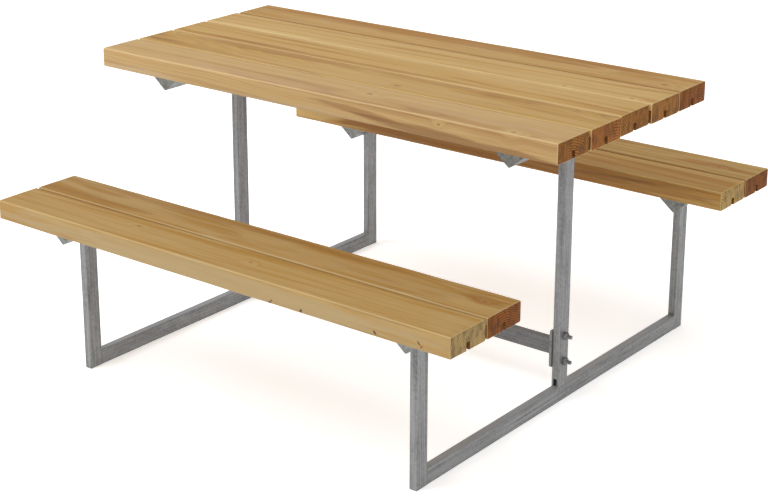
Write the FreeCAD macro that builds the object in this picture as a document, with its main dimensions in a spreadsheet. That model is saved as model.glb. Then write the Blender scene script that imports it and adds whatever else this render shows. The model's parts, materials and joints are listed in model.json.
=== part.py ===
import FreeCAD, Part
import os
import Sketcher
from FreeCAD import Vector

# Picnic table: two galvanised end frames of rectangular tube, joined low down by one long
# beam, carrying V-shaped bearers, on which five table planks and two by two seat planks lie.
# Origin on the ground under the middle of the table, +X along the planks, +Z up.

doc = FreeCAD.newDocument("PicnicTable")

# name, value in mm (angles in degrees), note
sizes = [
    ("tableLength", 1400, "length of the table planks"),
    ("seatSetback", 4, "table plank end to seat plank end, along X"),
    ("frameSetback", 170, "table plank end to the outer face of an end frame"),
    ("tableHeight", 768, "ground to the top of the table planks"),
    ("seatHeight", 450, "ground to the top of the seat planks"),
    ("seatCentre", 581.5, "middle of the table to the middle of a seat"),
    ("tablePlanks", 5, "number of planks in the table top"),
    ("seatPlanks", 2, "number of planks in each seat"),
    ("plankWidth", 127, ""),
    ("plankThickness", 50, ""),
    ("plankGap", 5, "air between neighbouring planks"),
    ("plankEdge", 5, "radius of the long plank edges"),
    ("grooveWidth", 13, "relief groove along the underside of each plank"),
    ("grooveDepth", 20, ""),
    ("tubeDeep", 40, "wide side of the rectangular tube"),
    ("tubeThin", 20, "narrow side of the rectangular tube"),
    ("tubeWall", 2, ""),
    ("tubeCorner", 1.5, "outside corner radius of the tube"),
    ("legInset", 4, "middle of a seat to the middle of its leg, towards the table"),
    ("bearerDrop", 53, "plank underside to the ridge of the V bearer"),
    ("bearerAngle", 39.5, "slope of the V bearer's flanks"),
    ("bearerPlate", 4, "plate thickness of the V bearer"),
    ("bearerBend", 1, "inside bend radius of the V bearer"),
    ("bearerFlange", 22, "flat flange beside each flank"),
    ("bearerOutset", 5, "ridge of the V bearer beyond the outer face of the frame"),
    ("bearerSetback", 60, "outermost plank edge to the end of its V bearer"),
    ("capThickness", 3, "end cap of the V bearer"),
    ("beamCentre", 137.5, "ground to the middle of the long beam"),
    ("endPlateMargin", 5, "end plate beyond the post, each side"),
    ("endPlateThickness", 6, ""),
    ("endPlateCorner", 4, "corner radius of the end plate"),
    ("boltSize", 10, "thread diameter of the beam bolts"),
    ("boltPlay", 1, "bolt hole diameter over thread diameter"),
    ("boltFromBeam", 13, "beam face to bolt centre"),
    ("boltFromEdge", 14.5, "bolt centre to the end plate's edge"),
    ("boltHeadWidth", 17, "across flats, of the head and the nut"),
    ("boltHeadHeight", 6.4, ""),
    ("nutHeight", 8, ""),
    ("boltWasherWidth", 21, ""),
    ("boltWasherThickness", 2, ""),
    ("boltStandOut", 11, "thread beyond the nut"),
    ("screwSize", 8, "shank diameter of the plank screws"),
    ("screwPlay", 1, "flange hole diameter over shank diameter"),
    ("screwBite", 34, "screw depth in the plank"),
    ("screwFromMiddle", 32, "screw row to the middle of its plank"),
    ("screwHeadWidth", 13, "across flats"),
    ("screwHeadHeight", 5.5, ""),
    ("screwWasherWidth", 17, ""),
    ("screwWasherThickness", 1.6, ""),
    ("ventWidth", 10, "vent slot at the foot of each post"),
    ("ventHeight", 20, ""),
]

# name, formula
layout = [
    ("seatLength", "Sizes.tableLength - 2 * Sizes.seatSetback"),
    ("frameSpan", "Sizes.tableLength - 2 * Sizes.frameSetback"),
    ("plankPitch", "Sizes.plankWidth + Sizes.plankGap"),
    ("tableWidth", "Sizes.tablePlanks * plankPitch - Sizes.plankGap"),
    ("seatWidth", "Sizes.seatPlanks * plankPitch - Sizes.plankGap"),
    ("tableUnder", "Sizes.tableHeight - Sizes.plankThickness"),
    ("seatUnder", "Sizes.seatHeight - Sizes.plankThickness"),
    ("frameX", "(frameSpan - Sizes.tubeThin) / 2"),
    ("legCentre", "Sizes.seatCentre - Sizes.legInset"),
    ("railLength", "2 * legCentre - Sizes.tubeDeep"),
    ("ridgeX", "frameSpan / 2 + Sizes.bearerOutset"),
    ("slope", "tan(Sizes.bearerAngle * 1deg)"),
    ("plateRise", "Sizes.bearerPlate / cos(Sizes.bearerAngle * 1deg)"),
    ("flankFoot", "(Sizes.bearerDrop - Sizes.bearerPlate) / slope"),
    ("troughHalf", "(Sizes.bearerDrop - plateRise) / slope"),
    ("flangeEnd", "flankFoot + Sizes.bearerFlange"),
    ("flangeMiddle", "flankFoot + Sizes.bearerFlange / 2"),
    ("ridgeLocal", "Sizes.tubeThin / 2 + Sizes.bearerOutset"),
    ("legRise", "(Sizes.tubeThin + Sizes.bearerOutset) * slope - Sizes.bearerDrop"),
    ("tableBearerLength", "tableWidth - 2 * Sizes.bearerSetback"),
    ("seatBearerLength", "seatWidth - 2 * Sizes.bearerSetback"),
    ("boltSpacing", "Sizes.tubeDeep + 2 * Sizes.boltFromBeam"),
    ("endPlateWidth", "Sizes.tubeDeep + 2 * Sizes.endPlateMargin"),
    ("endPlateHeight", "boltSpacing + 2 * Sizes.boltFromEdge"),
    ("endPlateX", "frameSpan / 2 - Sizes.tubeThin - Sizes.endPlateThickness"),
    ("beamLength", "2 * endPlateX"),
    ("boltShank", "Sizes.endPlateThickness + Sizes.tubeThin + Sizes.boltWasherThickness"
                  " + Sizes.nutHeight + Sizes.boltStandOut"),
    ("screwShank", "Sizes.screwWasherThickness + Sizes.bearerPlate + Sizes.screwBite"),
]


def makeSheet(name, rows):
    sheet = doc.addObject("Spreadsheet::Sheet", name)
    for row, entry in enumerate(rows, start=1):
        sheet.set("A%d" % row, entry[0])
        sheet.set("B%d" % row, str(entry[1]))
        sheet.setAlias("B%d" % row, entry[0])
        if len(entry) > 2:
            sheet.set("C%d" % row, entry[2])
    doc.recompute()
    return sheet


sizeSheet = makeSheet("Sizes", sizes)
layoutSheet = makeSheet("Layout", [(name, "=" + formula) for name, formula in layout])
nodes = []


def value(name):
    """The number behind one name of either sheet."""
    sheet = sizeSheet if any(name == entry[0] for entry in sizes) else layoutSheet
    return float(sheet.get(name))


def bind(thing, **properties):
    """Ties properties to formulas; __ in a name stands for a dot."""
    for name, formula in properties.items():
        thing.setExpression(name.replace("__", "."), formula)


def place(thing, x="0", y="0", z="0"):
    bind(thing, Placement__Base__x=x, Placement__Base__y=y, Placement__Base__z=z)


def keep(thing, name):
    thing.Label = name
    nodes.append(thing)
    return thing


# ---- sketch helpers -------------------------------------------------------------------

def newBody(name):
    return keep(doc.addObject("PartDesign::Body", name), name)


def newSketch(body, role, name):
    sketch = body.newObject("Sketcher::SketchObject", name)
    plane = next(f for f in body.Origin.OriginFeatures if f.Role == role)
    sketch.AttachmentSupport = [(plane, "")]
    sketch.MapMode = "FlatFace"
    return sketch


def pin(sketch, geo, point, x, y, start):
    """Fixes one sketch point at the formulas x and y from the sketch's origin."""
    for kind, formula, number in (("DistanceX", x, start.x), ("DistanceY", y, start.y)):
        name = "%s%d_%d" % (kind, geo, point)
        index = sketch.addConstraint(Sketcher.Constraint(kind, -1, 1, geo, point, number))
        sketch.renameConstraint(index, name)
        sketch.setExpression("Constraints." + name, formula)


def outline(sketch, corners):
    """A closed polygon; each corner is (formula x, formula y)."""
    points = [Vector(number(x), number(y), 0) for x, y in corners]
    first = len(sketch.Geometry)
    count = len(points)
    for i, start in enumerate(points):
        sketch.addGeometry(Part.LineSegment(start, points[(i + 1) % count]))
    for i in range(count):
        sketch.addConstraint(Sketcher.Constraint("Coincident", first + i, 2, first + (i + 1) % count, 1))
    for i, (x, y) in enumerate(corners):
        pin(sketch, first + i, 1, x, y, points[i])


def rectangle(sketch, width, height, middle="0"):
    """A rectangle around the point (0, middle)."""
    left, right = "-(%s) / 2" % width, "(%s) / 2" % width
    low, high = "%s - (%s) / 2" % (middle, height), "%s + (%s) / 2" % (middle, height)
    outline(sketch, [(left, low), (right, low), (right, high), (left, high)])


def circles(sketch, diameter, centres):
    for x, y in centres:
        centre = Vector(number(x), number(y), 0)
        geo = sketch.addGeometry(Part.Circle(centre, Vector(0, 0, 1), number(diameter) / 2))
        pin(sketch, geo, 3, x, y, centre)
        index = sketch.addConstraint(Sketcher.Constraint("Diameter", geo, number(diameter)))
        sketch.renameConstraint(index, "diameter%d" % geo)
        sketch.setExpression("Constraints.diameter%d" % geo, diameter)


def number(formula):
    """Evaluates a formula for the starting position of sketch geometry."""
    return float(getattr(sizeSheet.evalExpression(formula), "Value", sizeSheet.evalExpression(formula)))


def pad(body, sketch, name, length, midplane=True):
    feature = body.newObject("PartDesign::Pad", name)
    feature.Profile = sketch
    feature.Midplane = midplane
    bind(feature, Length=length)
    sketch.Visibility = False
    doc.recompute()
    return feature


def cut(body, sketch, name, length=None):
    """Cuts both ways from the sketch, and stops the build if nothing was cut."""
    before = body.Shape.Volume
    feature = body.newObject("PartDesign::Pocket", name)
    feature.Profile = sketch
    feature.Midplane = True
    feature.Type = "Length" if length else "ThroughAll"
    if length:
        bind(feature, Length=length)
    sketch.Visibility = False
    doc.recompute()
    if not body.Shape.Volume < before:
        raise RuntimeError("%s in %s cuts nothing" % (name, body.Label))
    return feature


def roundEdges(body, name, radius, wanted):
    """Fillets the edges of the body's tip for which wanted(edge) is true."""
    tip = body.Tip
    picked = ["Edge%d" % (i + 1) for i, edge in enumerate(tip.Shape.Edges) if wanted(edge)]
    feature = body.newObject("PartDesign::Fillet", name)
    feature.Base = (tip, picked)
    bind(feature, Radius=radius)
    doc.recompute()
    return feature


def alongAxis(edge, axis):
    direction = edge.tangentAt(edge.FirstParameter)
    return abs(abs(getattr(direction, axis)) - 1) < 1e-6


# ---- timber ---------------------------------------------------------------------------

def makePlank(name, length, y, top, holes):
    """A plank along X with eased edges, one relief groove and the screws' pilot holes."""
    body = newBody(name)
    section = newSketch(body, "YZ_Plane", name + "_section")
    rectangle(section, "Sizes.plankWidth", "Sizes.plankThickness")
    pad(body, section, name + "_board", length)
    halfWidth = value("plankWidth") / 2
    roundEdges(body, name + "_eased", "Sizes.plankEdge",
               lambda edge: alongAxis(edge, "x") and abs(abs(edge.CenterOfMass.y) - halfWidth) < 0.01)
    groove = newSketch(body, "YZ_Plane", name + "_groove_section")
    rectangle(groove, "Sizes.grooveWidth", "2 * Sizes.grooveDepth", "-Sizes.plankThickness / 2")
    cut(body, groove, name + "_groove", "%s + 2" % length)
    pilots = newSketch(body, "XY_Plane", name + "_pilots")
    bind(pilots, AttachmentOffset__Base__z="-Sizes.plankThickness / 2")
    circles(pilots, "Sizes.screwSize", holes)
    cut(body, pilots, name + "_pilot_holes", "2 * Sizes.screwBite")
    place(body, y=y, z="%s - Sizes.plankThickness / 2" % top)


def screwColumns():
    """The four X places of a plank's screws: both flanges of both bearers."""
    return ["%s(Layout.ridgeX %s Layout.flangeMiddle)" % (side, flange)
            for side in ("-", "") for flange in ("-", "+")]


def layPlanks(name, count, length, middle, top):
    """One plank beside the other around Y = middle; gives the Y formulas of their screw rows."""
    rows = []
    for index in range(count):
        step = index - (count - 1) / 2
        rowInPlank = "%d * Sizes.screwFromMiddle" % (-1 if step > 0 else 1)
        plankY = "%s + %.1f * Layout.plankPitch" % (middle, step)
        rows.append("%s + %s" % (plankY, rowInPlank))
        makePlank("%s_plank_%d" % (name, index + 1), length, plankY, top,
                  [(x, rowInPlank) for x in screwColumns()])
    return rows


seatSides = (("front", -1), ("rear", 1))
tableRows = layPlanks("table", int(value("tablePlanks")), "Sizes.tableLength", "0", "Sizes.tableHeight")
seatRows = {}
for seat, side in seatSides:
    seatRows[seat] = layPlanks(seat + "_seat", int(value("seatPlanks")), "Layout.seatLength",
                               "%d * Sizes.seatCentre" % side, "Sizes.seatHeight")


# ---- frame tubes ----------------------------------------------------------------------

def makeTube(name, plane, axis, width, height, length, midplane=True):
    """A hollow rectangular tube, its section drawn on one of the body's planes."""
    body = newBody(name)
    section = newSketch(body, plane, name + "_section")
    rectangle(section, width, height)
    pad(body, section, name + "_outside", length, midplane)
    roundEdges(body, name + "_corners", "Sizes.tubeCorner", lambda edge: alongAxis(edge, axis))
    bore = newSketch(body, plane, name + "_bore_section")
    rectangle(bore, "%s - 2 * Sizes.tubeWall" % width, "%s - 2 * Sizes.tubeWall" % height)
    cut(body, bore, name + "_bore")
    return body


def makeUpright(name, side, foot, under):
    """A standing tube whose top is cut to lie against the inner flank of its V bearer."""
    tall = "%s + Layout.legRise - %s" % (under, foot)
    body = makeTube(name, "XY_Plane", "z", "Sizes.tubeThin", "Sizes.tubeDeep", tall, False)
    ridge = "%d * Layout.ridgeLocal" % side
    inside = "%d * Layout.ridgeLocal" % -side
    low = "%s - Sizes.bearerDrop - %s" % (under, foot)
    high = "%s + 2 * Layout.ridgeLocal * Layout.slope" % low
    seat = newSketch(body, "XZ_Plane", name + "_seat_section")
    outline(seat, [(ridge, low), (inside, high), (ridge, high)])
    cut(body, seat, name + "_seat")
    return body


def makeVent(body, name):
    """A slot through both narrow faces at the foot, which lets the zinc run out."""
    slot = newSketch(body, "XZ_Plane", name + "_vent_section")
    rectangle(slot, "Sizes.ventWidth", "2 * Sizes.ventHeight")
    cut(body, slot, name + "_vent")


ends = (("left", -1), ("right", 1))
for end, side in ends:
    frameX = "%d * Layout.frameX" % side
    rail = makeTube(end + "_bottom_rail", "XZ_Plane", "y", "Sizes.tubeThin", "Sizes.tubeDeep",
                    "Layout.railLength")
    place(rail, x=frameX, z="Sizes.tubeDeep / 2")
    post = makeUpright(end + "_table_post", side, "Sizes.tubeDeep", "Layout.tableUnder")
    makeVent(post, end + "_table_post")
    place(post, x=frameX, z="Sizes.tubeDeep")
    for seat, seatSide in seatSides:
        leg = makeUpright("%s_%s_seat_leg" % (end, seat), side, "0", "Layout.seatUnder")
        place(leg, x=frameX, y="%d * Layout.legCentre" % seatSide)

beam = makeTube("long_beam", "YZ_Plane", "x", "Sizes.tubeThin", "Sizes.tubeDeep", "Layout.beamLength")
place(beam, z="Sizes.beamCentre")


# ---- bearers --------------------------------------------------------------------------

def makeBearer(name, length, x, y, under, rows):
    """Folded plate along Y: a V with its ridge down and a flat flange on each side."""
    body = newBody(name)
    section = newSketch(body, "XZ_Plane", name + "_section")
    plate = "-Sizes.bearerPlate"
    outline(section, [
        ("-Layout.flangeEnd", "0"), ("-Layout.troughHalf", "0"),
        ("0", "Layout.plateRise - Sizes.bearerDrop"),
        ("Layout.troughHalf", "0"), ("Layout.flangeEnd", "0"),
        ("Layout.flangeEnd", plate), ("Layout.flankFoot", plate),
        ("0", "-Sizes.bearerDrop"),
        ("-Layout.flankFoot", plate), ("-Layout.flangeEnd", plate)])
    pad(body, section, name + "_plate", length)

    def isFold(edge, outside):
        """Folds along Y: the three corners outside, or the three inside, of the bent plate."""
        centre = edge.CenterOfMass
        if not alongAxis(edge, "y") or abs(centre.x) > value("flangeEnd") - 0.1:
            return False
        ridge = abs(centre.x) < 0.1
        lower = centre.z < -value("bearerDrop") + 0.1 if ridge else centre.z < -0.1
        return (lower == ridge) == outside

    outer = [e for e in body.Tip.Shape.Edges if isFold(e, True)]
    inner = [e for e in body.Tip.Shape.Edges if isFold(e, False)]
    for label, radius, group in (("outer", "Sizes.bearerBend + Sizes.bearerPlate", outer),
                                 ("inner", "Sizes.bearerBend", inner)):
        marks = [e.CenterOfMass for e in group]
        roundEdges(body, "%s_%s_bends" % (name, label), radius,
                   lambda edge: alongAxis(edge, "y") and
                   any(edge.CenterOfMass.distanceToPoint(mark) < 0.01 for mark in marks))
    holes = newSketch(body, "XY_Plane", name + "_hole_places")
    circles(holes, "Sizes.screwSize + Sizes.screwPlay",
            [("%sLayout.flangeMiddle" % flange, "%s - (%s)" % (row, y))
             for row in rows for flange in ("-", "")])
    cut(body, holes, name + "_holes", "4 * Sizes.bearerPlate")
    place(body, x=x, y=y, z=under)


def makeCap(name, x, y, under):
    """A plate that closes one end of a V bearer, from its ridge up to the planks."""
    body = newBody(name)
    section = newSketch(body, "XZ_Plane", name + "_section")
    foot, level = "Layout.flankFoot", "-Sizes.bearerPlate"
    outline(section, [("-" + foot, "0"), ("-" + foot, level), ("0", "-Sizes.bearerDrop"),
                      (foot, level), (foot, "0")])
    pad(body, section, name + "_plate", "Sizes.capThickness")
    roundEdges(body, name + "_ridge", "Sizes.bearerBend + Sizes.bearerPlate",
               lambda edge: alongAxis(edge, "y") and abs(edge.CenterOfMass.x) < 0.1)
    place(body, x=x, y=y, z=under)
    nodes.remove(body)
    return body


# ---- fasteners ------------------------------------------------------------------------

def cylinder(name, diameter, height):
    rod = doc.addObject("Part::Cylinder", name)
    bind(rod, Radius="(%s) / 2" % diameter, Height=height)
    return rod


def hexagon(name, acrossFlats, height):
    prism = doc.addObject("Part::Prism", name)
    prism.Polygon = 6
    bind(prism, Circumradius="%s / sqrt(3)" % acrossFlats, Height=height)
    return prism


def combine(kind, name, base, tool):
    result = doc.addObject(kind, name)
    result.Base = base
    result.Tool = tool
    return result


def makeFastener(name, acrossFlats, headHeight, diameter, shank):
    """Hexagon head below the local origin, shank along local +Z."""
    head = hexagon(name + "_head", acrossFlats, headHeight)
    bind(head, Placement__Base__z="-" + headHeight)
    rod = cylinder(name + "_shank", diameter, shank)
    return combine("Part::Fuse", name, head, rod)


def makeWasher(name, outside, hole, thickness):
    return combine("Part::Cut", name, cylinder(name + "_disc", outside, thickness),
                   cylinder(name + "_hole", hole, thickness))


def makeNut(name):
    return combine("Part::Cut", name, hexagon(name + "_body", "Sizes.boltHeadWidth", "Sizes.nutHeight"),
                   cylinder(name + "_thread", "Sizes.boltSize", "Sizes.nutHeight"))


def group(name, members):
    compound = doc.addObject("Part::Compound", name + "_group")
    compound.Links = members
    return keep(compound, name)


def turnAlongX(thing, side):
    """Turns a fastener's own +Z to point away from the middle of the table."""
    thing.Placement.Rotation = FreeCAD.Rotation(Vector(0, 1, 0), 90 * side)


for end, side in ends:
    ridgeX = "%d * Layout.ridgeX" % side
    bearers = [("table", "Layout.tableBearerLength", "0", "Layout.tableUnder", tableRows)]
    for seat, seatSide in seatSides:
        bearers.append((seat + "_seat", "Layout.seatBearerLength", "%d * Layout.legCentre" % seatSide,
                        "Layout.seatUnder", seatRows[seat]))
    for role, length, y, under, rows in bearers:
        makeBearer("%s_%s_bearer" % (end, role), "%s - 2 * Sizes.capThickness" % length, ridgeX, y,
                   under, rows)
        capY = "%s %s (%s - Sizes.capThickness) / 2"
        group("%s_%s_bearer_caps" % (end, role),
              [makeCap("%s_%s_cap_%d" % (end, role, index), ridgeX, capY % (y, sign, length), under)
               for index, sign in enumerate("-+", start=1)])
        screws, washers = [], []
        for row in rows:
            for flange in ("-", "+"):
                x = "%s %s Layout.flangeMiddle" % (ridgeX, flange)
                mark = "%s_%s_%d" % (end, role, len(screws) + 1)
                screw = makeFastener("screw_" + mark, "Sizes.screwHeadWidth", "Sizes.screwHeadHeight",
                                     "Sizes.screwSize", "Layout.screwShank")
                washer = makeWasher("screw_washer_" + mark, "Sizes.screwWasherWidth",
                                    "Sizes.screwSize + Sizes.screwPlay", "Sizes.screwWasherThickness")
                seatZ = "%s - Sizes.bearerPlate - Sizes.screwWasherThickness" % under
                place(screw, x=x, y=row, z=seatZ)
                place(washer, x=x, y=row, z=seatZ)
                screws.append(screw)
                washers.append(washer)
        group("%s_%s_screws" % (end, role), screws)
        group("%s_%s_screw_washers" % (end, role), washers)


# ---- beam joints ----------------------------------------------------------------------

def boltHeights():
    return ["Sizes.beamCentre %s Layout.boltSpacing / 2" % sign for sign in ("-", "+")]


def drillUpright(body, name):
    """Bolt holes along X through a post."""
    sketch = newSketch(body, "YZ_Plane", name + "_bolt_hole_places")
    circles(sketch, "Sizes.boltSize + Sizes.boltPlay",
            [("0", "%s - Sizes.tubeDeep" % z) for z in boltHeights()])
    cut(body, sketch, name + "_bolt_holes")


for end, side in ends:
    drillUpright(next(n for n in nodes if n.Label == end + "_table_post"), end + "_table_post")

    plate = newBody(end + "_beam_end_plate")
    face = newSketch(plate, "YZ_Plane", end + "_end_plate_face")
    rectangle(face, "Layout.endPlateWidth", "Layout.endPlateHeight")
    pad(plate, face, end + "_end_plate_pad", "Sizes.endPlateThickness")
    roundEdges(plate, end + "_end_plate_corners", "Sizes.endPlateCorner",
               lambda edge: alongAxis(edge, "x"))
    drilling = newSketch(plate, "YZ_Plane", end + "_end_plate_hole_places")
    circles(drilling, "Sizes.boltSize + Sizes.boltPlay",
            [("0", "%s - Sizes.beamCentre" % z) for z in boltHeights()])
    cut(plate, drilling, end + "_end_plate_holes")
    place(plate, x="%d * (Layout.endPlateX + Sizes.endPlateThickness / 2)" % side, z="Sizes.beamCentre")

    bolts, washers, nuts = [], [], []
    outerFace = "Layout.frameSpan / 2"
    for index, height in enumerate(boltHeights(), start=1):
        mark = "%s_%d" % (end, index)
        bolt = makeFastener("beam_bolt_" + mark, "Sizes.boltHeadWidth", "Sizes.boltHeadHeight",
                            "Sizes.boltSize", "Layout.boltShank")
        washer = makeWasher("beam_washer_" + mark, "Sizes.boltWasherWidth",
                            "Sizes.boltSize + Sizes.boltPlay", "Sizes.boltWasherThickness")
        nut = makeNut("beam_nut_" + mark)
        for thing, x in ((bolt, "Layout.endPlateX"), (washer, outerFace),
                         (nut, outerFace + " + Sizes.boltWasherThickness")):
            turnAlongX(thing, side)
            place(thing, x="%d * (%s)" % (side, x), z=height)
        bolts.append(bolt)
        washers.append(washer)
        nuts.append(nut)
    group(end + "_beam_bolts", bolts)
    group(end + "_beam_bolt_washers", washers)
    group(end + "_beam_bolt_nuts", nuts)


# ---- check and write ------------------------------------------------------------------

doc.recompute()
for thing in doc.Objects:
    if "Invalid" in thing.State or "Error" in thing.State:
        raise RuntimeError("%s failed: %s" % (thing.Label, thing.State))
for thing in nodes:
    if thing.Shape.isNull() or not thing.Shape.isValid():
        raise RuntimeError("%s has no valid shape" % thing.Label)

os.makedirs("parts", exist_ok=True)
for thing in nodes:
    thing.Shape.exportStep("parts/%s.step" % thing.Label)
print("%d nodes written" % len(nodes))
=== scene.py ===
import json
import math

import bpy
from mathutils import Matrix, Vector


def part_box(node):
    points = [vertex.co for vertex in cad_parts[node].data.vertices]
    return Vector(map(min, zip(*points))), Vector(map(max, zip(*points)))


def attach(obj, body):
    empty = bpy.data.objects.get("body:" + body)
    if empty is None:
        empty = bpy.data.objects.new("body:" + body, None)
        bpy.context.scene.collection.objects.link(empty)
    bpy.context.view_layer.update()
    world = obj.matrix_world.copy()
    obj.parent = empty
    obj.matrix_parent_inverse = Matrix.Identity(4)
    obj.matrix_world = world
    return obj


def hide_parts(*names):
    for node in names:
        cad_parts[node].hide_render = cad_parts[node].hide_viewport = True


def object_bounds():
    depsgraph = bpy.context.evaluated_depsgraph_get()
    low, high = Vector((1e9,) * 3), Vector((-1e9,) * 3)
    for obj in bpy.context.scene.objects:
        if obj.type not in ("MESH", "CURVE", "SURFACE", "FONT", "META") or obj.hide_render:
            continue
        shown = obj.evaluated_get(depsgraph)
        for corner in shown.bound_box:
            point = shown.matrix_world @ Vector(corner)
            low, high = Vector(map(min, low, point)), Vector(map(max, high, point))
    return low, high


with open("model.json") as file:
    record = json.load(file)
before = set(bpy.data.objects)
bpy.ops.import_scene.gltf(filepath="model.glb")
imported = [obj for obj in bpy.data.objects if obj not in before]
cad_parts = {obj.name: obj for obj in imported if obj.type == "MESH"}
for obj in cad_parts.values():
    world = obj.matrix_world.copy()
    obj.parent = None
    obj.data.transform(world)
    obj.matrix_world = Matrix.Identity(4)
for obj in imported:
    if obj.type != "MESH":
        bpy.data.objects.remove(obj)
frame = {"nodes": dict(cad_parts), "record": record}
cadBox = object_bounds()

mm = 0.001
tiny = 1e-6


def deselectAll():
    if bpy.context.object and bpy.context.object.mode != "OBJECT":
        bpy.ops.object.mode_set(mode="OBJECT")
    bpy.ops.object.select_all(action="DESELECT")


def activate(piece):
    deselectAll()
    piece.select_set(True)
    bpy.context.view_layer.objects.active = piece


def applyPlace(piece):
    activate(piece)
    bpy.ops.object.transform_apply(location=True, rotation=True, scale=True)


def selectEdges(piece, wanted):  # wanted gets the edge's two corner positions
    bpy.ops.object.mode_set(mode="EDIT")
    bpy.ops.mesh.select_mode(type="EDGE")
    bpy.ops.mesh.select_all(action="DESELECT")
    bpy.ops.object.mode_set(mode="OBJECT")
    corners = piece.data.vertices
    for edge in piece.data.edges:
        a, b = (corners[i].co for i in edge.vertices)
        edge.select = wanted(a, b)
    bpy.ops.object.mode_set(mode="EDIT")


def selectFaces(piece, wanted):
    activate(piece)
    bpy.ops.object.mode_set(mode="EDIT")
    bpy.ops.mesh.select_mode(type="FACE")
    bpy.ops.mesh.select_all(action="DESELECT")
    bpy.ops.object.mode_set(mode="OBJECT")
    for face in piece.data.polygons:
        face.select = wanted(face)
    bpy.ops.object.mode_set(mode="EDIT")


def bisectAt(axis, place):  # cuts the mesh in edit mode across one axis
    normal, point = [0, 0, 0], [0, 0, 0]
    normal[axis], point[axis] = 1, place
    bpy.ops.mesh.select_all(action="SELECT")
    bpy.ops.mesh.bisect(plane_co=point, plane_no=normal, use_fill=False)


def applyModifier(piece, kind, **settings):
    activate(piece)
    bpy.ops.object.modifier_add(type=kind)
    modifier = piece.modifiers[-1]
    for name, value in settings.items():
        setattr(modifier, name, value)
    bpy.ops.object.modifier_apply(modifier=modifier.name)


view = {
    "place": (2.5837, -3.3811, 1.8635),     # metres
    "turn": 40.45, "tip": -17.19, "roll": -0.753,   # degrees to the left, up from level, and round
    "sensor": 36, "lens": 81.85,            # mm
    "shift": (0.1074, -0.1302),
}

bpy.ops.object.camera_add(location=view["place"])
camera = bpy.context.object
camera.name = "camera"
aim = Matrix.Rotation(math.radians(view["turn"]), 4, "Z")
aim = aim @ Matrix.Rotation(math.radians(90 + view["tip"]), 4, "X")
aim = aim @ Matrix.Rotation(math.radians(view["roll"]), 4, "Z")
camera.matrix_world = Matrix.Translation(view["place"]) @ aim
camera.data.sensor_width = view["sensor"]
camera.data.lens = view["lens"]
camera.data.shift_x, camera.data.shift_y = view["shift"]
camera.data.dof.use_dof = False
bpy.context.scene.camera = camera
bpy.context.scene.view_settings.view_transform = "Standard"
bpy.context.scene.view_settings.look = "None"

studio = {
    "overhead": 1.28, "sides": 0.04,    # the room's light from straight above and from the walls
    "skirting": 1.0,                    # a low pale band of wall, so the floor runs on without a dark line
    "skirtingTop": (0.055, 0.075),      # sine of the angle where the band begins and ends its fade
    "key": 150, "keySize": 3.0,         # watts, metres
    "keyPlace": (-2.2, -3.2, 4.9), "keyAim": (0, 0, 0.5),
    "floorSize": 60, "floorGlow": 0.46,
}


def hexColour(code):  # sRGB hex to linear RGBA
    parts = [int(code[i:i + 2], 16) / 255 for i in (0, 2, 4)]
    return [c / 12.92 if c <= 0.04045 else ((c + 0.055) / 1.055) ** 2.4 for c in parts] + [1.0]


def addNode(tree, kind, settings=None, inputs=None):  # values are set, sockets are linked
    node = tree.nodes.new(kind)
    for name, value in (settings or {}).items():
        setattr(node, name, value)
    for name, value in (inputs or {}).items():
        if isinstance(value, bpy.types.NodeSocket):
            tree.links.new(value, node.inputs[name])
        else:
            node.inputs[name].default_value = value
    return node


def newMaterial(name):
    material = bpy.data.materials.new(name)
    material.use_nodes = True
    material.node_tree.nodes.clear()
    tree = material.node_tree
    shader = addNode(tree, "ShaderNodeBsdfPrincipled")
    addNode(tree, "ShaderNodeOutputMaterial", None, {"Surface": shader.outputs["BSDF"]})
    return material, tree, shader


world = bpy.data.worlds.new("softbox_room")
world.use_nodes = True
tree = world.node_tree
heading = addNode(tree, "ShaderNodeTexCoord").outputs["Generated"]
upward = addNode(tree, "ShaderNodeSeparateXYZ", None, {0: heading})
glow = addNode(tree, "ShaderNodeMapRange", None, {
    "Value": upward.outputs[2], "To Min": studio["sides"], "To Max": studio["overhead"]})
skirting = addNode(tree, "ShaderNodeMapRange", None, {
    "Value": upward.outputs[2], "From Min": studio["skirtingTop"][0], "From Max": studio["skirtingTop"][1],
    "To Min": studio["skirting"], "To Max": 0.0})
brighter = addNode(tree, "ShaderNodeMath", {"operation": "MAXIMUM"}, {
    0: glow.outputs[0], 1: skirting.outputs[0]})
tree.links.new(brighter.outputs[0], tree.nodes["Background"].inputs["Strength"])
tree.nodes["Background"].inputs["Color"].default_value = (1, 1, 1, 1)
bpy.context.scene.world = world

bpy.ops.object.light_add(type="AREA", location=studio["keyPlace"])
key = bpy.context.object
key.name = "key_light"
key.data.energy = studio["key"]
key.data.size = studio["keySize"]
beamWay = Vector(studio["keyAim"]) - Vector(studio["keyPlace"])
key.rotation_euler = beamWay.to_track_quat("-Z", "Y").to_euler()

deselectAll()
bpy.ops.mesh.primitive_plane_add(size=studio["floorSize"], location=(0, 0, cadBox[0][2]))
floor = bpy.context.object
floor.name = "floor"
paper, tree, shader = newMaterial("matt_white_paper")
shader.inputs["Base Color"].default_value = hexColour("F6F6F6")
shader.inputs["Roughness"].default_value = 0.95
shader.inputs["Emission Color"].default_value = (1, 1, 1, 1)
shader.inputs["Emission Strength"].default_value = studio["floorGlow"]
floor.data.materials.append(paper)
print("camera, floor and light ready")


def maths(tree, operation, *values):
    return addNode(tree, "ShaderNodeMath", {"operation": operation}, dict(enumerate(values))).outputs[0]


def vectors(tree, operation, *values):
    node = addNode(tree, "ShaderNodeVectorMath", {"operation": operation}, dict(enumerate(values)))
    return node.outputs["Value"] if operation in ("LENGTH", "DOT_PRODUCT") else node.outputs[0]


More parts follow.
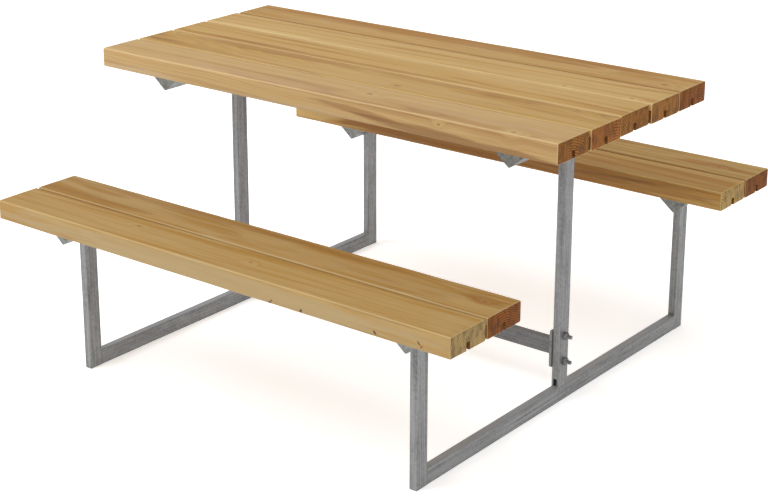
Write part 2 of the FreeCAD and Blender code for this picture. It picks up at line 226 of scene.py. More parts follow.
def slope(tree, value, start, end):  # 0 at start, 1 at end, soft between
    return addNode(tree, "ShaderNodeMapRange", {"interpolation_type": "SMOOTHSTEP"}, {
        "Value": value, "From Min": start, "From Max": end}).outputs[0]


def ramp(tree, value, stops):  # stops are (place, colour or brightness)
    node = addNode(tree, "ShaderNodeValToRGB", None, {"Fac": value})
    spots = node.color_ramp.elements
    while len(spots) < len(stops):
        spots.new(0.5)
    for spot, (place, shade) in zip(spots, stops):
        spot.position = place
        spot.color = hexColour(shade) if isinstance(shade, str) else (shade, shade, shade, 1)
    return node.outputs["Color"]


def blendColours(tree, how, share, a, b):
    node = addNode(tree, "ShaderNodeMix", {"data_type": "RGBA", "blend_type": how})
    for place, value in ((0, share), (6, a), (7, b)):
        if isinstance(value, bpy.types.NodeSocket):
            tree.links.new(value, node.inputs[place])
        else:
            node.inputs[place].default_value = value
    return node.outputs[2]


def streaks(tree, coords, sizes, seed, detail=3.0):  # noise drawn out to these sizes, mm
    stretch = addNode(tree, "ShaderNodeMapping", None, {
        "Vector": coords, "Location": (seed * 3.1, seed * 1.7, seed * 2.3),
        "Scale": [1 / (size * mm) for size in sizes]})
    noise = addNode(tree, "ShaderNodeTexNoise", {"noise_dimensions": "3D"}, {
        "Vector": stretch.outputs[0], "Scale": 1.0, "Detail": detail, "Roughness": 0.55})
    return noise.outputs["Fac"]


larch = {
    "ring": 5.5,            # mm from one year's ring to the next, coarser than life so that they show
    "wander": 15,           # mm that the rings stray along the plank
    "sap": "E6C489", "knot": "8E5B2A", "sandedEdge": "F8DDA8",
    "ends": ("DDA950", "C08B35", "805215"),     # early wood, middle and late wood on a sawn end
    "paleEnds": ("E2C48D", "CDAC70", "AB8954"),
    "knotPull": 4.5,        # rings that a knot pushes aside
    "knotRed": 0.65, "heartRed": 0.5,           # shares of the darker colour
    "shine": 0.32, "figureDepth": 0.5,          # specular level, mm
}


def makeLarch(name, looks):
    # planed larch: clear rings in long flames, warm heartwood, a low oiled sheen
    material, tree, shader = newMaterial(name)
    place = addNode(tree, "ShaderNodeTexCoord")
    coords = place.outputs["Object"]
    seed = looks["seed"]
    # the trunk's axis, a little out of line with the plank
    trunk = addNode(tree, "ShaderNodeMapping", {"vector_type": "TEXTURE"}, {
        "Vector": coords, "Location": [c * mm for c in looks["pith"]],
        "Rotation": [math.radians(a) for a in (0, looks["lean"][0], looks["lean"][1])]})
    bend = addNode(tree, "ShaderNodeMapping", None, {
        "Vector": coords, "Location": (seed * 5.3, seed, seed * 0.7), "Scale": (2.4, 15, 15)})
    bendNoise = addNode(tree, "ShaderNodeTexNoise", None, {
        "Vector": bend.outputs[0], "Scale": 1.0, "Detail": 2.0, "Roughness": 0.5})
    centred = vectors(tree, "SUBTRACT", bendNoise.outputs["Color"], (0.5, 0.5, 0.5))
    stray = (0, 2 * larch["wander"] * mm, 2 * larch["wander"] * mm)
    strayed = vectors(tree, "MULTIPLY_ADD", centred, stray, trunk.outputs[0])
    radius = vectors(tree, "LENGTH", vectors(tree, "MULTIPLY", strayed, (0, 1, 1)))
    rings = maths(tree, "MULTIPLY", radius, 1 / (larch["ring"] * mm))
    core = None
    for x, y, z, size, way in looks["knots"]:  # way says which way the branch runs
        squeeze = (0.55, 1.0, 0.12) if way == "z" else (0.55, 0.12, 1.0)
        apart = vectors(tree, "SUBTRACT", coords, (x * mm, y * mm, z * mm))
        apart = vectors(tree, "MULTIPLY", apart, squeeze)
        away = maths(tree, "MULTIPLY", vectors(tree, "LENGTH", apart), 1 / (size * mm))
        swell = maths(tree, "EXPONENT", maths(tree, "MULTIPLY", maths(tree, "MULTIPLY", away, away), -0.10))
        rings = maths(tree, "ADD", rings, maths(tree, "MULTIPLY", swell, larch["knotPull"]))
        eye = slope(tree, away, 1.2, 0.45)
        core = eye if core is None else maths(tree, "MAXIMUM", core, eye)
    year = maths(tree, "FRACT", rings)
    early, late = looks["early"], looks["late"]
    lines = ramp(tree, year, [(0.0, early), (0.5, early), (0.84, late), (0.95, late), (1.0, early)])
    # spells of good and poor years follow the rings
    spell = addNode(tree, "ShaderNodeTexNoise", {"noise_dimensions": "1D"}, {
        "W": maths(tree, "MULTIPLY_ADD", rings, 0.23, seed * 7.7), "Scale": 1.0, "Detail": 2.0,
        "Roughness": 0.6}).outputs["Fac"]
    drift = streaks(tree, coords, (700, 30, 30), seed, 2.0)
    tone = maths(tree, "MULTIPLY_ADD", spell, 0.55, maths(tree, "MULTIPLY", drift, 0.45))
    bands = ramp(tree, tone, [(0.34, late), (0.45, early), (0.55, larch["sap"]), (0.66, early)])
    grain = blendColours(tree, "MIX", 0.66, lines, bands)
    red = slope(tree, radius, (looks["heartRadius"] + 6) * mm, (looks["heartRadius"] - 6) * mm)
    red = maths(tree, "MULTIPLY", red, larch["heartRed"])
    grain = blendColours(tree, "MIX", red, grain, hexColour(looks["heart"]))
    # long stains and pale sapwood, and patches of painted light and painted shade, each an oval along the
    # grain with a wandering edge
    fray = streaks(tree, coords, (160, 9, 9), seed + 6, 3.0)
    for x, y, z, long, wide, tall, tilt, colour, share in looks["stains"]:
        oval = addNode(tree, "ShaderNodeMapping", {"vector_type": "TEXTURE"}, {
            "Vector": coords, "Location": (x * mm, y * mm, z * mm),
            "Rotation": (0, math.radians(tilt), 0), "Scale": (long * mm, wide * mm, tall * mm)})
        away = maths(tree, "ADD", vectors(tree, "LENGTH", oval.outputs[0]),
                     maths(tree, "MULTIPLY_ADD", fray, 1.6, -0.8))
        inside = maths(tree, "MULTIPLY", slope(tree, away, 1.12, 0.62), share)
        grain = blendColours(tree, "MIX", inside, grain, hexColour(colour))
    fibre = ramp(tree, streaks(tree, coords, (90, 1.8, 1.8), seed + 4), [(0.25, 0.88), (0.75, 1.0)])
    grain = blendColours(tree, "MULTIPLY", 0.8, grain, fibre)
    dark = ramp(tree, streaks(tree, coords, (420, 6, 6), seed + 9), [(0.27, 0.72), (0.40, 1.0)])
    grain = blendColours(tree, "MULTIPLY", 0.75, grain, dark)
    if core is not None:
        core = maths(tree, "MULTIPLY", core, larch["knotRed"])
        grain = blendColours(tree, "MIX", core, grain, hexColour(larch["knot"]))
    facing = addNode(tree, "ShaderNodeSeparateXYZ", None, {0: place.outputs["Normal"]})
    # painted highlight: long edges that turn upwards are painted paler, for the light they catch, but the
    # front edge beside an open joint is painted dark, as painted shade in the joint
    if looks["darkJoint"]:
        side = maths(tree, "MULTIPLY", facing.outputs[1], -1)
    else:
        side = maths(tree, "ABSOLUTE", facing.outputs[1])
    edge = maths(tree, "MULTIPLY", slope(tree, side, 0.18, 0.5), slope(tree, side, 0.96, 0.8))
    edge = maths(tree, "MULTIPLY", edge, slope(tree, facing.outputs[2], 0.1, 0.4))
    paintedEdgeLightColour = hexColour(larch["knot"] if looks["darkJoint"] else larch["sandedEdge"])
    grain = blendColours(tree, "MIX", maths(tree, "MULTIPLY", edge, 0.5), grain, paintedEdgeLightColour)
    # sawn ends drink more oil, and show every ring and the saw's marks
    endways = maths(tree, "ABSOLUTE", facing.outputs[0])
    end = slope(tree, endways, 0.6, 0.9)
    soft, firm, hard = larch[looks.get("ends", "ends")]
    endRings = ramp(tree, year, [(0.0, soft), (0.5, firm), (0.84, hard), (0.95, hard), (1.0, soft)])
    soaked = ramp(tree, streaks(tree, coords, (900, 15, 24), seed + 3, 3.0), [(0.36, 0.50), (0.54, 1.0)])
    patchy = blendColours(tree, "MULTIPLY", 0.85, endRings, soaked)
    sawMarks = ramp(tree, streaks(tree, coords, (900, 4.5, 70), seed + 5, 2.0), [(0.32, 0.50), (0.47, 1.0)])
    sawn = blendColours(tree, "MULTIPLY", 0.8, patchy, sawMarks)
    sawn = blendColours(tree, "MULTIPLY", 1.0, sawn, hexColour(looks["endTint"]))
    grain = blendColours(tree, "MIX", end, grain, sawn)
    # painted highlight: the rounded edges round the sawn ends are painted paler
    paintedEndEdgeHighlight = maths(tree, "MULTIPLY", slope(tree, endways, 0.12, 0.35), slope(tree, endways, 0.97, 0.85))
    paintedEndEdgeHighlight = maths(tree, "MULTIPLY", paintedEndEdgeHighlight, 0.45)
    grain = blendColours(tree, "MIX", paintedEndEdgeHighlight, grain, hexColour(larch["sandedEdge"]))
    grain = blendColours(tree, "MULTIPLY", 1.0, grain, hexColour(looks["oil"]))
    tree.links.new(grain, shader.inputs["Base Color"])
    # late wood is the smoothest, sawn ends the roughest
    dullness = maths(tree, "MULTIPLY_ADD", end, 0.25, 0.62)
    dullness = maths(tree, "ADD", maths(tree, "MULTIPLY", year, -0.12), dullness)
    tree.links.new(dullness, shader.inputs["Roughness"])
    shader.inputs["Specular IOR Level"].default_value = larch["shine"]
    fibres = streaks(tree, coords, (60, 1.2, 1.2), seed + 2)
    relief = maths(tree, "ADD", maths(tree, "MULTIPLY", year, 0.5), fibres)
    bump = addNode(tree, "ShaderNodeBump", None, {
        "Height": relief, "Strength": 0.25, "Distance": larch["figureDepth"] * mm})
    tree.links.new(bump.outputs[0], shader.inputs["Normal"])
    return material


def makeRoughShadedLarch(name):
    # larch left rough from the saw in grooves and joints: dull and furry, and painted dark as shade in these
    # recesses
    material, tree, shader = newMaterial(name)
    coords = addNode(tree, "ShaderNodeTexCoord").outputs["Object"]
    fur = streaks(tree, coords, (40, 2.4, 2.4), 3)
    tree.links.new(ramp(tree, fur, [(0.3, "5A3316"), (0.7, "8A5A2C")]), shader.inputs["Base Color"])
    tree.links.new(ramp(tree, fur, [(0.3, 0.95), (0.7, 0.82)]), shader.inputs["Roughness"])
    shader.inputs["Specular IOR Level"].default_value = 0.2
    bump = addNode(tree, "ShaderNodeBump", None, {"Height": fur, "Strength": 0.5, "Distance": 0.0008})
    tree.links.new(bump.outputs[0], shader.inputs["Normal"])
    return material


# One entry for each plank. pith is where the trunk's axis lies from the plank's middle, mm along, across
# and up, and lean is how far that axis turns, degrees. oil is how far the oil has darkened the plank.
# Knots are at mm from the plank's middle and top, with a radius and the way the branch runs. Stains, and
# patches of painted light and painted shade on the front faces, are placed the same way, with half their
# length, width and height, a tilt, a colour and a strength. trim is mm off the left and right ends, below
# zero where the plank reaches further, and joints are the sides that face another plank. A plank with
# painted joint shade has its joint side and front edge painted dark.
plankLooks = {
    "table_plank_1": dict(
        seed=1.3, pith=(0, -46, -78), lean=(0.9, 1.3), early="DDB678", late="C0925A", heart="A05F35",
        heartRadius=30, oil="D6D4D2", endTint="E0C48E", trim=(0, 2.5), joints=(1,), darkJoint=False,
        knots=[(134, 7, 0, 6, "z"), (576, -50, 0, 4, "z"), (384, -63, -14, 2.6, "y")],
        stains=[(150, -66, -24, 150, 14, 9, 3.0, "8F5428", 0.40),
                (430, -66, -42, 330, 16, 14, 2.0, "84491F", 0.50),
                # the pale E3C69A patches on the front face carry a painted cool tint of the light from the
                # left
                (620, -66, -18, 190, 14, 14, 0, "B98A58", 0.2), (-60, -66, -46, 260, 12, 8, 0, "E3C69A", 0.6),
                (-560, -66, -42, 150, 12, 12, 0, "E3C69A", 0.6), (-200, -40, 0, 340, 24, 12, 0, "D9B084", 0.5),
                (480, -12, 0, 250, 20, 12, 0, "E2BE8C", 0.5)]),
    "table_plank_2": dict(
        seed=2.1, pith=(0, 30, -100), lean=(-2.0, 1.2), early="D9B066", late="B58444", heart="A9713D",
        heartRadius=40, oil="D4CFC3", endTint="F0CDAD", trim=(0, 0), joints=(-1, 1), darkJoint=False,
        knots=[(139, -28, 0, 4, "z")],
        stains=[(-300, 42, 0, 330, 20, 14, 0, "B27C3A", 0.55), (300, 46, 0, 330, 16, 14, 0, "B98546", 0.45),
                (0, -40, 0, 500, 16, 12, 0, "E4C48E", 0.4)]),
    "table_plank_3": dict(
        seed=3.7, pith=(0, -150, -70), lean=(1.8, -0.9), early="DCB268", late="B88742", heart="A9713D",
        heartRadius=30, oil="D6D2C6", endTint="E5CEB1", trim=(0, 4), joints=(-1, 1), darkJoint=False,
        knots=[],
        stains=[(-420, -46, 0, 260, 12, 12, 0, "A8723A", 0.6), (60, -50, 0, 300, 12, 12, 0, "B07A3C", 0.5),
                (100, 56, 0, 640, 9, 12, 0, "EACD92", 0.75), (420, 10, 0, 250, 26, 12, 0, "E2BE84", 0.35)]),
    "table_plank_4": dict(
        seed=4.4, pith=(0, 150, -60), lean=(1.0, 1.5), early="D9AF6C", late="BC8A4C", heart="B07A45",
        heartRadius=36, oil="DCDBD0", endTint="EBD5CF", trim=(0, 0), joints=(-1, 1), darkJoint=False,
        knots=[(458, -50, 0, 4, "z"), (640, -50, 0, 4, "z")],
        stains=[(-500, -52, 0, 240, 10, 12, 0, "EACD92", 0.7), (450, -44, 0, 250, 14, 12, 0, "E6C88E", 0.5)]),
    "table_plank_5": dict(
        seed=5.2, pith=(0, 20, -125), lean=(1.4, 0.3), early="CB9B4F", late="A87235", heart="A9713D",
        heartRadius=60, oil="D6D1C4", endTint="D7AE66", trim=(4, 1), joints=(-1,), darkJoint=True,
        knots=[(640, -30, 0, 5, "z")],
        stains=[(0, 30, 0, 700, 30, 20, 0, "B67C3E", 0.45), (-250, -40, 0, 300, 14, 12, 0, "D9AE6A", 0.4)]),
    "front_seat_plank_1": dict(
        seed=6.6, pith=(0, 130, -70), lean=(0.4, 0.3), early="D0A04F", late="BC863C", heart="B57E45",
        heartRadius=36, oil="C7C5BA", ends="paleEnds", endTint="FFFFFF", trim=(0, 0), joints=(1,),
        darkJoint=False,
        knots=[(93, 6, 0, 3.5, "z"), (-279, 20, 0, 4, "z")],
        # the first patch paints the whole front face paler and cooler: painted light on the face towards the
        # key light
        stains=[(0, -66, -28, 760, 12, 30, 0, "D8BD8F", 0.78), (650, 0, -25, 70, 60, 40, 0, "DDBE8A", 0.4),
                (209, -63.5, -47, 5, 8, 4, 50, "55331A", 1.0), (214, -63.5, -41, 3, 6, 3, 0, "6B4320", 0.9),
                (299, -63.5, -43, 4, 8, 5, 60, "55331A", 0.9), (502, -63.5, -40, 6, 8, 3, 40, "6B4320", 0.9),
                (617, -63.5, -34, 7, 8, 2.2, 50, "55331A", 0.95),
                (624, -63.5, -39, 3, 8, 4, 50, "6B4320", 0.6)]),
    "front_seat_plank_2": dict(
        seed=7.9, pith=(0, -30, -150), lean=(0.8, 0.6), early="C99745", late="B07931", heart="A9713D",
        heartRadius=50, oil="C6C4BE", endTint="E2B362", trim=(0, 0), joints=(-1,), darkJoint=False,
        knots=[(640, 8, 0, 3.5, "z")],
        stains=[(640, 10, 0, 60, 24, 12, 0, "B27436", 0.5), (-100, 40, 0, 560, 16, 12, 0, "B37E3F", 0.4)]),
    "rear_seat_plank_1": dict(
        seed=8.5, pith=(0, -90, -60), lean=(0.8, -0.4), early="CE9C4B", late="B07B39", heart="A9713D",
        heartRadius=40, oil="D5CFB7", ends="paleEnds", endTint="FFFFFF", trim=(-9, -1), joints=(1,),
        darkJoint=False,
        knots=[],
        # the first patch paints the whole front face darker: painted shadow of the table top
        stains=[(0, -66, -25, 760, 12, 40, 0, "9A6226", 0.64), (480, -66, -34, 160, 12, 9, -3, "C99B5C", 0.5),
                (350, -66, -20, 220, 12, 5, -2, "7C4818", 0.4),
                (-640, -66, -20, 120, 12, 30, 0, "E0BE84", 0.9)]),
    "rear_seat_plank_2": dict(
        seed=9.1, pith=(0, 40, -100), lean=(-0.6, 0.5), early="C99848", late="A87333", heart="A9713D",
        heartRadius=44, oil="CCCABA", endTint="D4AA58", trim=(-9, -1), joints=(-1,), darkJoint=True,
        knots=[(590, -6, 0, 4, "z")],
        stains=[(560, -6, 0, 110, 22, 12, 0, "BE7C36", 0.55)]),
}

plankShape = {
    "edge": 5.0, "edgeSteps": 4,        # rounding of the long edges, mm
    "endEdge": 2.6, "endSteps": 3,      # and of the sawn ends
    "groove": 13.0, "grooveDepth": 20.0,
    "across": (-45, -27, -6.6, 6.6, 27, 45),    # cuts across the width, mm from the middle
    "down": (-5.1, 8),                  # and down the thickness
    "roughTop": 8,                      # rough sides end this far above the middle, mm
    "stepsAlong": 60,
    "waviness": 0.8, "waveSize": 110,   # mm
    "smoothAngle": 35,
}

undulation = bpy.data.textures.new("planed_undulation", "CLOUDS")
undulation.noise_scale = plankShape["waveSize"] * mm
undulation.noise_depth = 1
roughShadedLarch = makeRoughShadedLarch("rough_sawn_larch")


def makePlank(node, looks):
    low, high = (Vector(corner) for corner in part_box(node))
    middle, size = (low + high) / 2, high - low
    low.x += looks["trim"][0] * mm
    high.x -= looks["trim"][1] * mm
    length = high.x - low.x
    deselectAll()
    bpy.ops.mesh.primitive_cube_add(size=1, location=((low.x + high.x) / 2, middle.y, middle.z))
    plank = bpy.context.object
    plank.name = node + "_timber"
    plank.scale = (length, size.y, size.z)
    applyPlace(plank)
    selectEdges(plank, lambda a, b: abs(a.x - b.x) > length / 2)
    bpy.ops.mesh.bevel(offset=plankShape["edge"] * mm, segments=plankShape["edgeSteps"], profile=0.5,
                       affect="EDGES")
    selectEdges(plank, lambda a, b: abs(a.x - b.x) < tiny)
    bpy.ops.mesh.bevel(offset=plankShape["endEdge"] * mm, segments=plankShape["endSteps"], profile=0.5,
                       affect="EDGES")
    bpy.ops.object.mode_set(mode="OBJECT")
    # the relief groove along the underside
    deselectAll()
    bpy.ops.mesh.primitive_cube_add(size=1, location=(middle.x, middle.y, low.z))
    cutter = bpy.context.object
    cutter.scale = (size.x + 0.05, plankShape["groove"] * mm, 2 * plankShape["grooveDepth"] * mm)
    applyPlace(cutter)
    applyModifier(plank, "BOOLEAN", object=cutter, operation="DIFFERENCE", solver="EXACT")
    bpy.data.objects.remove(cutter)
    activate(plank)
    bpy.ops.object.mode_set(mode="EDIT")
    for offset in plankShape["across"]:
        bisectAt(1, middle.y + offset * mm)
    for offset in plankShape["down"]:
        bisectAt(2, middle.z + offset * mm)
    selectEdges(plank, lambda a, b: abs(a.x - b.x) > length / 2)
    bpy.ops.mesh.subdivide(number_cuts=plankShape["stepsAlong"])
    bpy.ops.object.mode_set(mode="OBJECT")
    plank.data.materials.clear()
    plank.data.materials.append(None)
    plank.data.materials.append(roughShadedLarch)
    # joints and the groove's inside stay rough, and dark as painted shade
    slack = 0.1 * mm
    halfGroove = plankShape["groove"] / 2 * mm + slack
    grooveTop = low.z + plankShape["grooveDepth"] * mm + slack
    # planks with painted joint shade are painted dark up the whole joint side
    roughTop = high.z if looks["darkJoint"] else middle.z + plankShape["roughTop"] * mm
    for face in plank.data.polygons:
        across, height = abs(face.center.y - middle.y), face.center.z
        inGroove = across < halfGroove and low.z + slack < height < grooveTop and abs(face.normal.x) < 0.5
        facesJoint = any(face.normal.y * way > 0.95 for way in looks["joints"])
        inJoint = facesJoint and across > size.y / 2 - mm and height < roughTop
        face.material_index = 1 if inGroove or inJoint else 0
    applyModifier(plank, "DISPLACE", texture=undulation, strength=plankShape["waviness"] * mm,
                  mid_level=0.5, texture_coords="LOCAL")
    activate(plank)
    bpy.ops.object.shade_smooth_by_angle(angle=math.radians(plankShape["smoothAngle"]))
    looks = dict(looks)
    centre = [c / mm for c in middle]
    looks["pith"] = [a + b for a, b in zip(looks["pith"], centre)]
    for kind in ("knots", "stains"):
        looks[kind] = [(centre[0] + x, centre[1] + y, high.z / mm + z, *rest)
                       for x, y, z, *rest in looks[kind]]
    plank.data.materials[0] = makeLarch("planed_larch_" + node, looks)
    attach(plank, "root")
    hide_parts(node)


for node, looks in plankLooks.items():
    makePlank(node, looks)
print("planks ready")


# Pairs are the lightest and the darkest zinc of a finish. scuffed is how far the upper faces are painted
# paler: partly rubbed, partly a painted highlight of the light from above.
zinc = {
    # the beam's pair is darker than the tubes': painted shade from the table top above it
    "tube": ("8E8F90", "5D5E5F"), "beam": ("737374", "4E4E4F"), "plate": ("858784", "5E605D"),
    "fastener": ("8E8E90", "5C5C5E"), "weld": ("8A8A8A", "606060"),
    "rubbed": "BEC2C8", "railScuffed": 0.55, "beamScuffed": 0.18,
    "metallic": 0.55, "crystal": 6, "relief": 0.4,      # crystal and relief in mm
}


def makeZinc(name, light, dark, drawn, seed, scuffAndHighlightShare=0):
    # hot-dip galvanised mild steel: dull grey zinc, streaked the way it was drawn and drained, with
    # faint crystals and dark drips, and its upper faces painted pale, partly as shoe scuffs and partly as a
    # painted highlight from above
    material, tree, shader = newMaterial(name)
    place = addNode(tree, "ShaderNodeTexCoord")
    coords = place.outputs["Object"]
    long = [240 if axis == drawn else 2.8 for axis in "xyz"] if drawn else [9, 9, 9]
    draw = streaks(tree, coords, long, seed, 4.0)
    blot = streaks(tree, coords, [90 if axis == drawn else 22 for axis in "xyz"], seed + 3, 4.0)
    crystal = addNode(tree, "ShaderNodeTexVoronoi", {"feature": "F1"}, {
        "Vector": coords, "Scale": 1 / (zinc["crystal"] * mm)})
    spangle = addNode(tree, "ShaderNodeSeparateColor", None, {0: crystal.outputs["Color"]}).outputs[0]
    fine = streaks(tree, coords, (1.6, 1.6, 1.6), seed + 5, 2.0)
    mixed = maths(tree, "MULTIPLY_ADD", draw, 0.60, maths(tree, "MULTIPLY", blot, 0.20))
    mixed = maths(tree, "MULTIPLY_ADD", spangle, 0.08, mixed)
    mixed = maths(tree, "MULTIPLY_ADD", fine, 0.12, mixed)
    colour = ramp(tree, mixed, [(0.32, dark), (0.56, light)])
    drip = ramp(tree, streaks(tree, coords, long, seed + 8, 2.0), [(0.26, 0.72), (0.38, 1.0)])
    colour = blendColours(tree, "MULTIPLY", 0.5, colour, drip)
    # painted highlight and scuff: faces that turn upwards are painted paler
    if scuffAndHighlightShare:
        facing = addNode(tree, "ShaderNodeSeparateXYZ", None, {0: place.outputs["Normal"]})
        rubbed = maths(tree, "MULTIPLY", slope(tree, facing.outputs[2], 0.5, 0.9), scuffAndHighlightShare)
        colour = blendColours(tree, "MIX", rubbed, colour, hexColour(zinc["rubbed"]))
    tree.links.new(colour, shader.inputs["Base Color"])
    shader.inputs["Metallic"].default_value = zinc["metallic"]
    tree.links.new(ramp(tree, mixed, [(0.35, 0.60), (0.6, 0.44)]), shader.inputs["Roughness"])
    relief = maths(tree, "MULTIPLY_ADD", fine, 0.5, draw)
    bump = addNode(tree, "ShaderNodeBump", None, {
        "Height": relief, "Strength": 0.35, "Distance": zinc["relief"] * mm})
    tree.links.new(bump.outputs[0], shader.inputs["Normal"])
    return material


steel = {
    "upright": makeZinc("galvanised_upright_tube", *zinc["tube"], "z", 1),
    "rail": makeZinc("galvanised_rail_tube", *zinc["tube"], "y", 2, zinc["railScuffed"]),
    # the beam's darker zinc is painted shade from the table top above it
    "beam": makeZinc("galvanised_beam_tube", *zinc["beam"], "x", 3, zinc["beamScuffed"]),
    "plate": makeZinc("galvanised_pressed_plate", *zinc["plate"], "", 4),
    "fastener": makeZinc("zinc_plated_fastener", *zinc["fastener"], "", 5),
    "weld": makeZinc("galvanised_weld", *zinc["weld"], "", 6),
}
# the last word of a tube's name says which way it was drawn
finishes = {"rail": "rail", "post": "upright", "leg": "upright", "beam": "beam"}

for part in frame["record"]["subparts"]:
    node, slotName = part["node"], part["material_slot"]
    if slotName == "larch":
        continue
    finish = steel["fastener"] if slotName == "zinc_fasteners" else steel["plate"]
    if slotName == "galvanised_tube":
        finish = steel[finishes[node.split("_")[-1]]]
    piece = frame["nodes"][node]
    if not piece.material_slots:
        piece.data.materials.append(finish)
    for place in piece.material_slots:
        place.material = finish
print("steel ready")

fastener = {    # mm
    "boltSize": 10, "boltHead": 17, "boltHeadHeight": 6.4, "boltReach": 47,
    "nutHeight": 8, "nutBite": 0.2,     # the nut's hole is this much tighter than the bolt
    "boltWasher": 21, "boltWasherThick": 2.0, "washerRoom": 1, "washerEdge": 0.35,
    "threadPitch": 1.5, "threadTurns": 7, "threadDepth": 0.9, "threadLead": 0.8,
    "screwSize": 8, "screwHead": 13, "screwHeadHeight": 5.5, "screwShank": 22,
    "screwWasher": 17, "screwWasherThick": 1.6, "screwFromMiddle": 32,
    "hexEdge": 0.2, "turnedShare": 0.47, "chamferRun": 1.732,
}


def addCylinder(radius, start, end, sides=32):  # upright, between two heights, mm
    deselectAll()
    bpy.ops.mesh.primitive_cylinder_add(vertices=sides, radius=radius * mm, depth=(end - start) * mm,
                                        location=(0, 0, (start + end) / 2 * mm))
    piece = bpy.context.object
    applyPlace(piece)
    return piece


def cutWith(piece, tool, operation):
    applyModifier(piece, "BOOLEAN", object=tool, operation=operation, solver="EXACT")
    bpy.data.objects.remove(tool)


def addHexagon(width, start, end, chamferLow=False):  # its top corners are turned off at 30 degrees
    piece = addCylinder(width / math.sqrt(3), start, end, 6)
    tall = end - start
    turned = width * fastener["turnedShare"]
    for upward in (True, False) if chamferLow else (True,):
        deselectAll()
        radii = [(turned + tall * fastener["chamferRun"]) * mm, turned * mm]
        if not upward:
            radii.reverse()
        bpy.ops.mesh.primitive_cone_add(vertices=48, radius1=radii[0], radius2=radii[1], depth=tall * mm,
                                        location=(0, 0, (start + end) / 2 * mm))
        tool = bpy.context.object
        applyPlace(tool)
        cutWith(piece, tool, "INTERSECT")
    return piece


def soften(piece, width, steps=2):
    applyModifier(piece, "BEVEL", width=width * mm, segments=steps, limit_method="ANGLE",
                  angle_limit=math.radians(40))
    activate(piece)
    bpy.ops.object.shade_smooth_by_angle(angle=math.radians(35))
    return piece


def makeWasher(outer, hole, thick):
    washer = addCylinder(outer / 2, 0, thick)
    cutWith(washer, addCylinder(hole / 2, -1, thick + 1), "DIFFERENCE")
    return soften(washer, fastener["washerEdge"])


def makeNut(width, hole, tall):
    nut = addHexagon(width, 0, tall, True)
    cutWith(nut, addCylinder(hole / 2, -1, tall + 1), "DIFFERENCE")
    return soften(nut, fastener["hexEdge"], 1)


def joinPieces(pieces, name):
    deselectAll()
    for piece in pieces:
        piece.select_set(True)
    bpy.context.view_layer.objects.active = pieces[0]
    if len(pieces) > 1:
        bpy.ops.object.join()
    pieces[0].name = name
    return pieces[0]


def makeBolt(size, headWidth, headHeight, reach):  # head below, thread's end at reach above it, mm
    head = addHexagon(headWidth, -headHeight, 0)
    # the head's turned side faces away from the thread
    activate(head)
    bpy.ops.object.mode_set(mode="EDIT")
    bpy.ops.mesh.select_all(action="SELECT")
    bpy.ops.transform.resize(value=(1, 1, -1), center_override=(0, 0, -headHeight / 2 * mm))
    bpy.ops.mesh.normals_make_consistent(inside=False)
    bpy.ops.object.mode_set(mode="OBJECT")
    soften(head, fastener["hexEdge"], 1)
    pitch, lead = fastener["threadPitch"], fastener["threadLead"]
    threadStart = reach - fastener["threadTurns"] * pitch - lead
    shank = addCylinder(size / 2, -1, threadStart, 24)
    selectFaces(shank, lambda face: face.normal.z > 0.9)
    root = 1 - fastener["threadDepth"] / (size / 2)
    for turn in range(fastener["threadTurns"]):
        for growth in (root, 1 / root):
            bpy.ops.mesh.extrude_region_move(TRANSFORM_OT_translate={"value": (0, 0, pitch / 2 * mm)})
            bpy.ops.transform.resize(value=(growth, growth, 1), center_override=(0, 0, 0))
    bpy.ops.mesh.extrude_region_move(TRANSFORM_OT_translate={"value": (0, 0, lead * mm)})
    bpy.ops.transform.resize(value=(0.84, 0.84, 1), center_override=(0, 0, 0))
    bpy.ops.object.mode_set(mode="OBJECT")
    activate(shank)
    bpy.ops.object.shade_smooth_by_angle(angle=math.radians(30))
    return joinPieces([head, shank], "bolt")


def placeCopies(model, places, turn, name, finish):  # each copy has its own mesh
    copies = []
    for place in places:
        copy = model.copy()
        copy.data = model.data.copy()
        bpy.context.collection.objects.link(copy)
        copy.rotation_euler = turn
        copy.location = place
        applyPlace(copy)
        copies.append(copy)
    piece = joinPieces(copies, name)
    piece.data.materials.clear()
    piece.data.materials.append(finish)
    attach(piece, "root")
    return piece


def placeFasteners(kind, places, turn, node, name):
    piece = placeCopies(models[kind], places, turn, name, steel["fastener"])
    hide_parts(node)


models = {
    "bolt": makeBolt(fastener["boltSize"], fastener["boltHead"], fastener["boltHeadHeight"],
                     fastener["boltReach"]),
    "nut": makeNut(fastener["boltHead"], fastener["boltSize"] - fastener["nutBite"], fastener["nutHeight"]),
    "washer": makeWasher(fastener["boltWasher"], fastener["boltSize"] + fastener["washerRoom"],
                         fastener["boltWasherThick"]),
    "screw": joinPieces([addHexagon(fastener["screwHead"], 0, fastener["screwHeadHeight"])], "screw"),
    "screwWasher": makeWasher(fastener["screwWasher"], fastener["screwSize"] + fastener["washerRoom"],
                              fastener["screwWasherThick"]),
}
soften(models["screw"], fastener["hexEdge"], 1)
shank = addCylinder(fastener["screwSize"] / 2, -fastener["screwShank"], 0.5, 20)
models["screw"] = joinPieces([models["screw"], shank], "screw")

